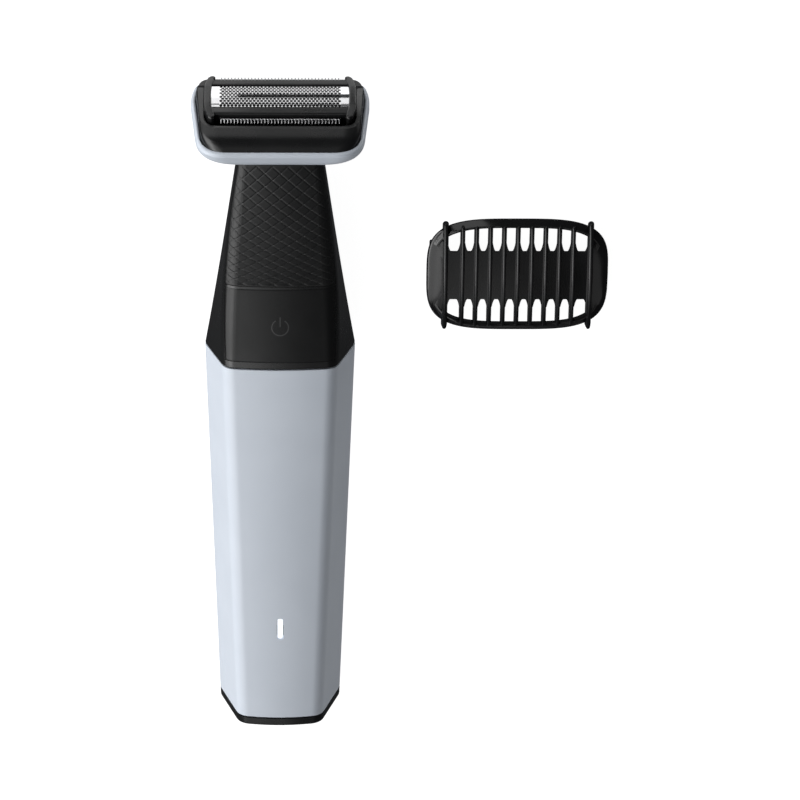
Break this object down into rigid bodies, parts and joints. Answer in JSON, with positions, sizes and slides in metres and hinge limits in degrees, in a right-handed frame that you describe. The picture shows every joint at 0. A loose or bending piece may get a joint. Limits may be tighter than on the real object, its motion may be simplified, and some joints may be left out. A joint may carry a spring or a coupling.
{
  "type": "body groomer",
  "caption": "Cordless body groomer lying on its back: tapered handle, textured grip, T-shaped head with a perforated foil between two trimmers, and a loose ribbed comb beside it.",
  "frame": {"origin": "middle of the flat back that the handle lies on, 60 mm from the base end", "axes": "+Y from the base to the head along the handle, +Z out of the front, +X to the right seen from the front"},
  "size_m": [0.1162, 0.1926, 0.0302],
  "materials": {
    "pale_shell": "satin pale blue-grey moulded shell",
    "black_plastic": "satin black moulding",
    "soft_grip": "soft-touch black with low diamond relief",
    "gloss_black": "polished black moulding",
    "steel": "ground stainless steel",
    "foil_steel": "bright electroformed foil with round holes",
    "brass": "bright brass",
    "inner_plastic": "natural moulding",
    "circuit_green": "green solder mask",
    "cell_wrap": "shrink-wrapped steel can",
    "led_window": "clear-white light guide"
  },
  "bodies": {
    "handle": {"front_body_shell": "pale_shell", "back_body_shell": "pale_shell", "base_cap": "black_plastic", "grip_front_shell": "black_plastic", "grip_back_shell": "black_plastic", "grip_pad": "soft_grip", "joint_collar": "inner_plastic", "chassis": "inner_plastic", "battery_cell_left": "cell_wrap", "battery_cell_right": "cell_wrap", "battery_contact_left": "steel", "battery_contact_right": "steel", "battery_link": "steel", "circuit_board": "circuit_green", "tact_switch": "black_plastic", "led": "led_window", "light_pipe": "led_window", "motor": "steel", "motor_end_bell": "black_plastic", "motor_terminal_left": "brass", "motor_terminal_right": "brass", "motor_cradle": "inner_plastic", "charging_socket": "black_plastic", "socket_pin_left": "steel", "socket_pin_right": "steel", "base_screw_left": "steel", "base_screw_right": "steel", "grip_screw": "steel", "head_collar": "pale_shell", "head_casing": "black_plastic", "shaft_seal": "soft_grip"},
    "button": {"power_button": "soft_grip"},
    "rotor": {"motor_shaft": "steel", "eccentric_cam": "inner_plastic"},
    "drive": {"drive_yoke": "inner_plastic"},
    "cartridge": {"cartridge_frame": "black_plastic", "shaving_foil": "foil_steel", "front_trimmer_guard": "steel", "back_trimmer_guard": "steel"},
    "cutter": {"cutter_carrier": "inner_plastic", "foil_cutter": "steel", "front_trimmer_blade": "steel", "back_trimmer_blade": "steel", "cutter_spring_left": "steel", "cutter_spring_right": "steel"},
    "comb": {"click_on_comb": "gloss_black"}
  },
  "joints": [
    {"name": "button_press", "type": "slide", "parent": "handle", "child": "button", "axis": [0, 0, -1], "range_m": [0, 0.0006], "stiffness_N_per_m": 2000},
    {"name": "motor_spin", "type": "hinge", "parent": "handle", "child": "rotor", "pos_m": [0, 0.0984, 0.0125], "axis": [0, 1, 0], "continuous": true},
    {"name": "drive_stroke", "type": "slide", "parent": "handle", "child": "drive", "axis": [1, 0, 0], "range_m": [-0.0009, 0.0009]},
    {"name": "cartridge_pull", "type": "slide", "parent": "handle", "child": "cartridge", "axis": [0, 0.9397, 0.342], "range_m": [0, 0.015]},
    {"name": "cutter_stroke", "type": "slide", "parent": "cartridge", "child": "cutter", "axis": [1, 0, 0], "range_m": [-0.0009, 0.0009]},
    {"name": "comb_lift", "type": "slide", "parent": "handle", "child": "comb", "axis": [0, 0, 1], "range_m": [0, 0.06]}
  ],
  "couplings": [
    {"joint": "cutter_stroke", "follows": "drive_stroke", "ratio": 1}
  ]
}
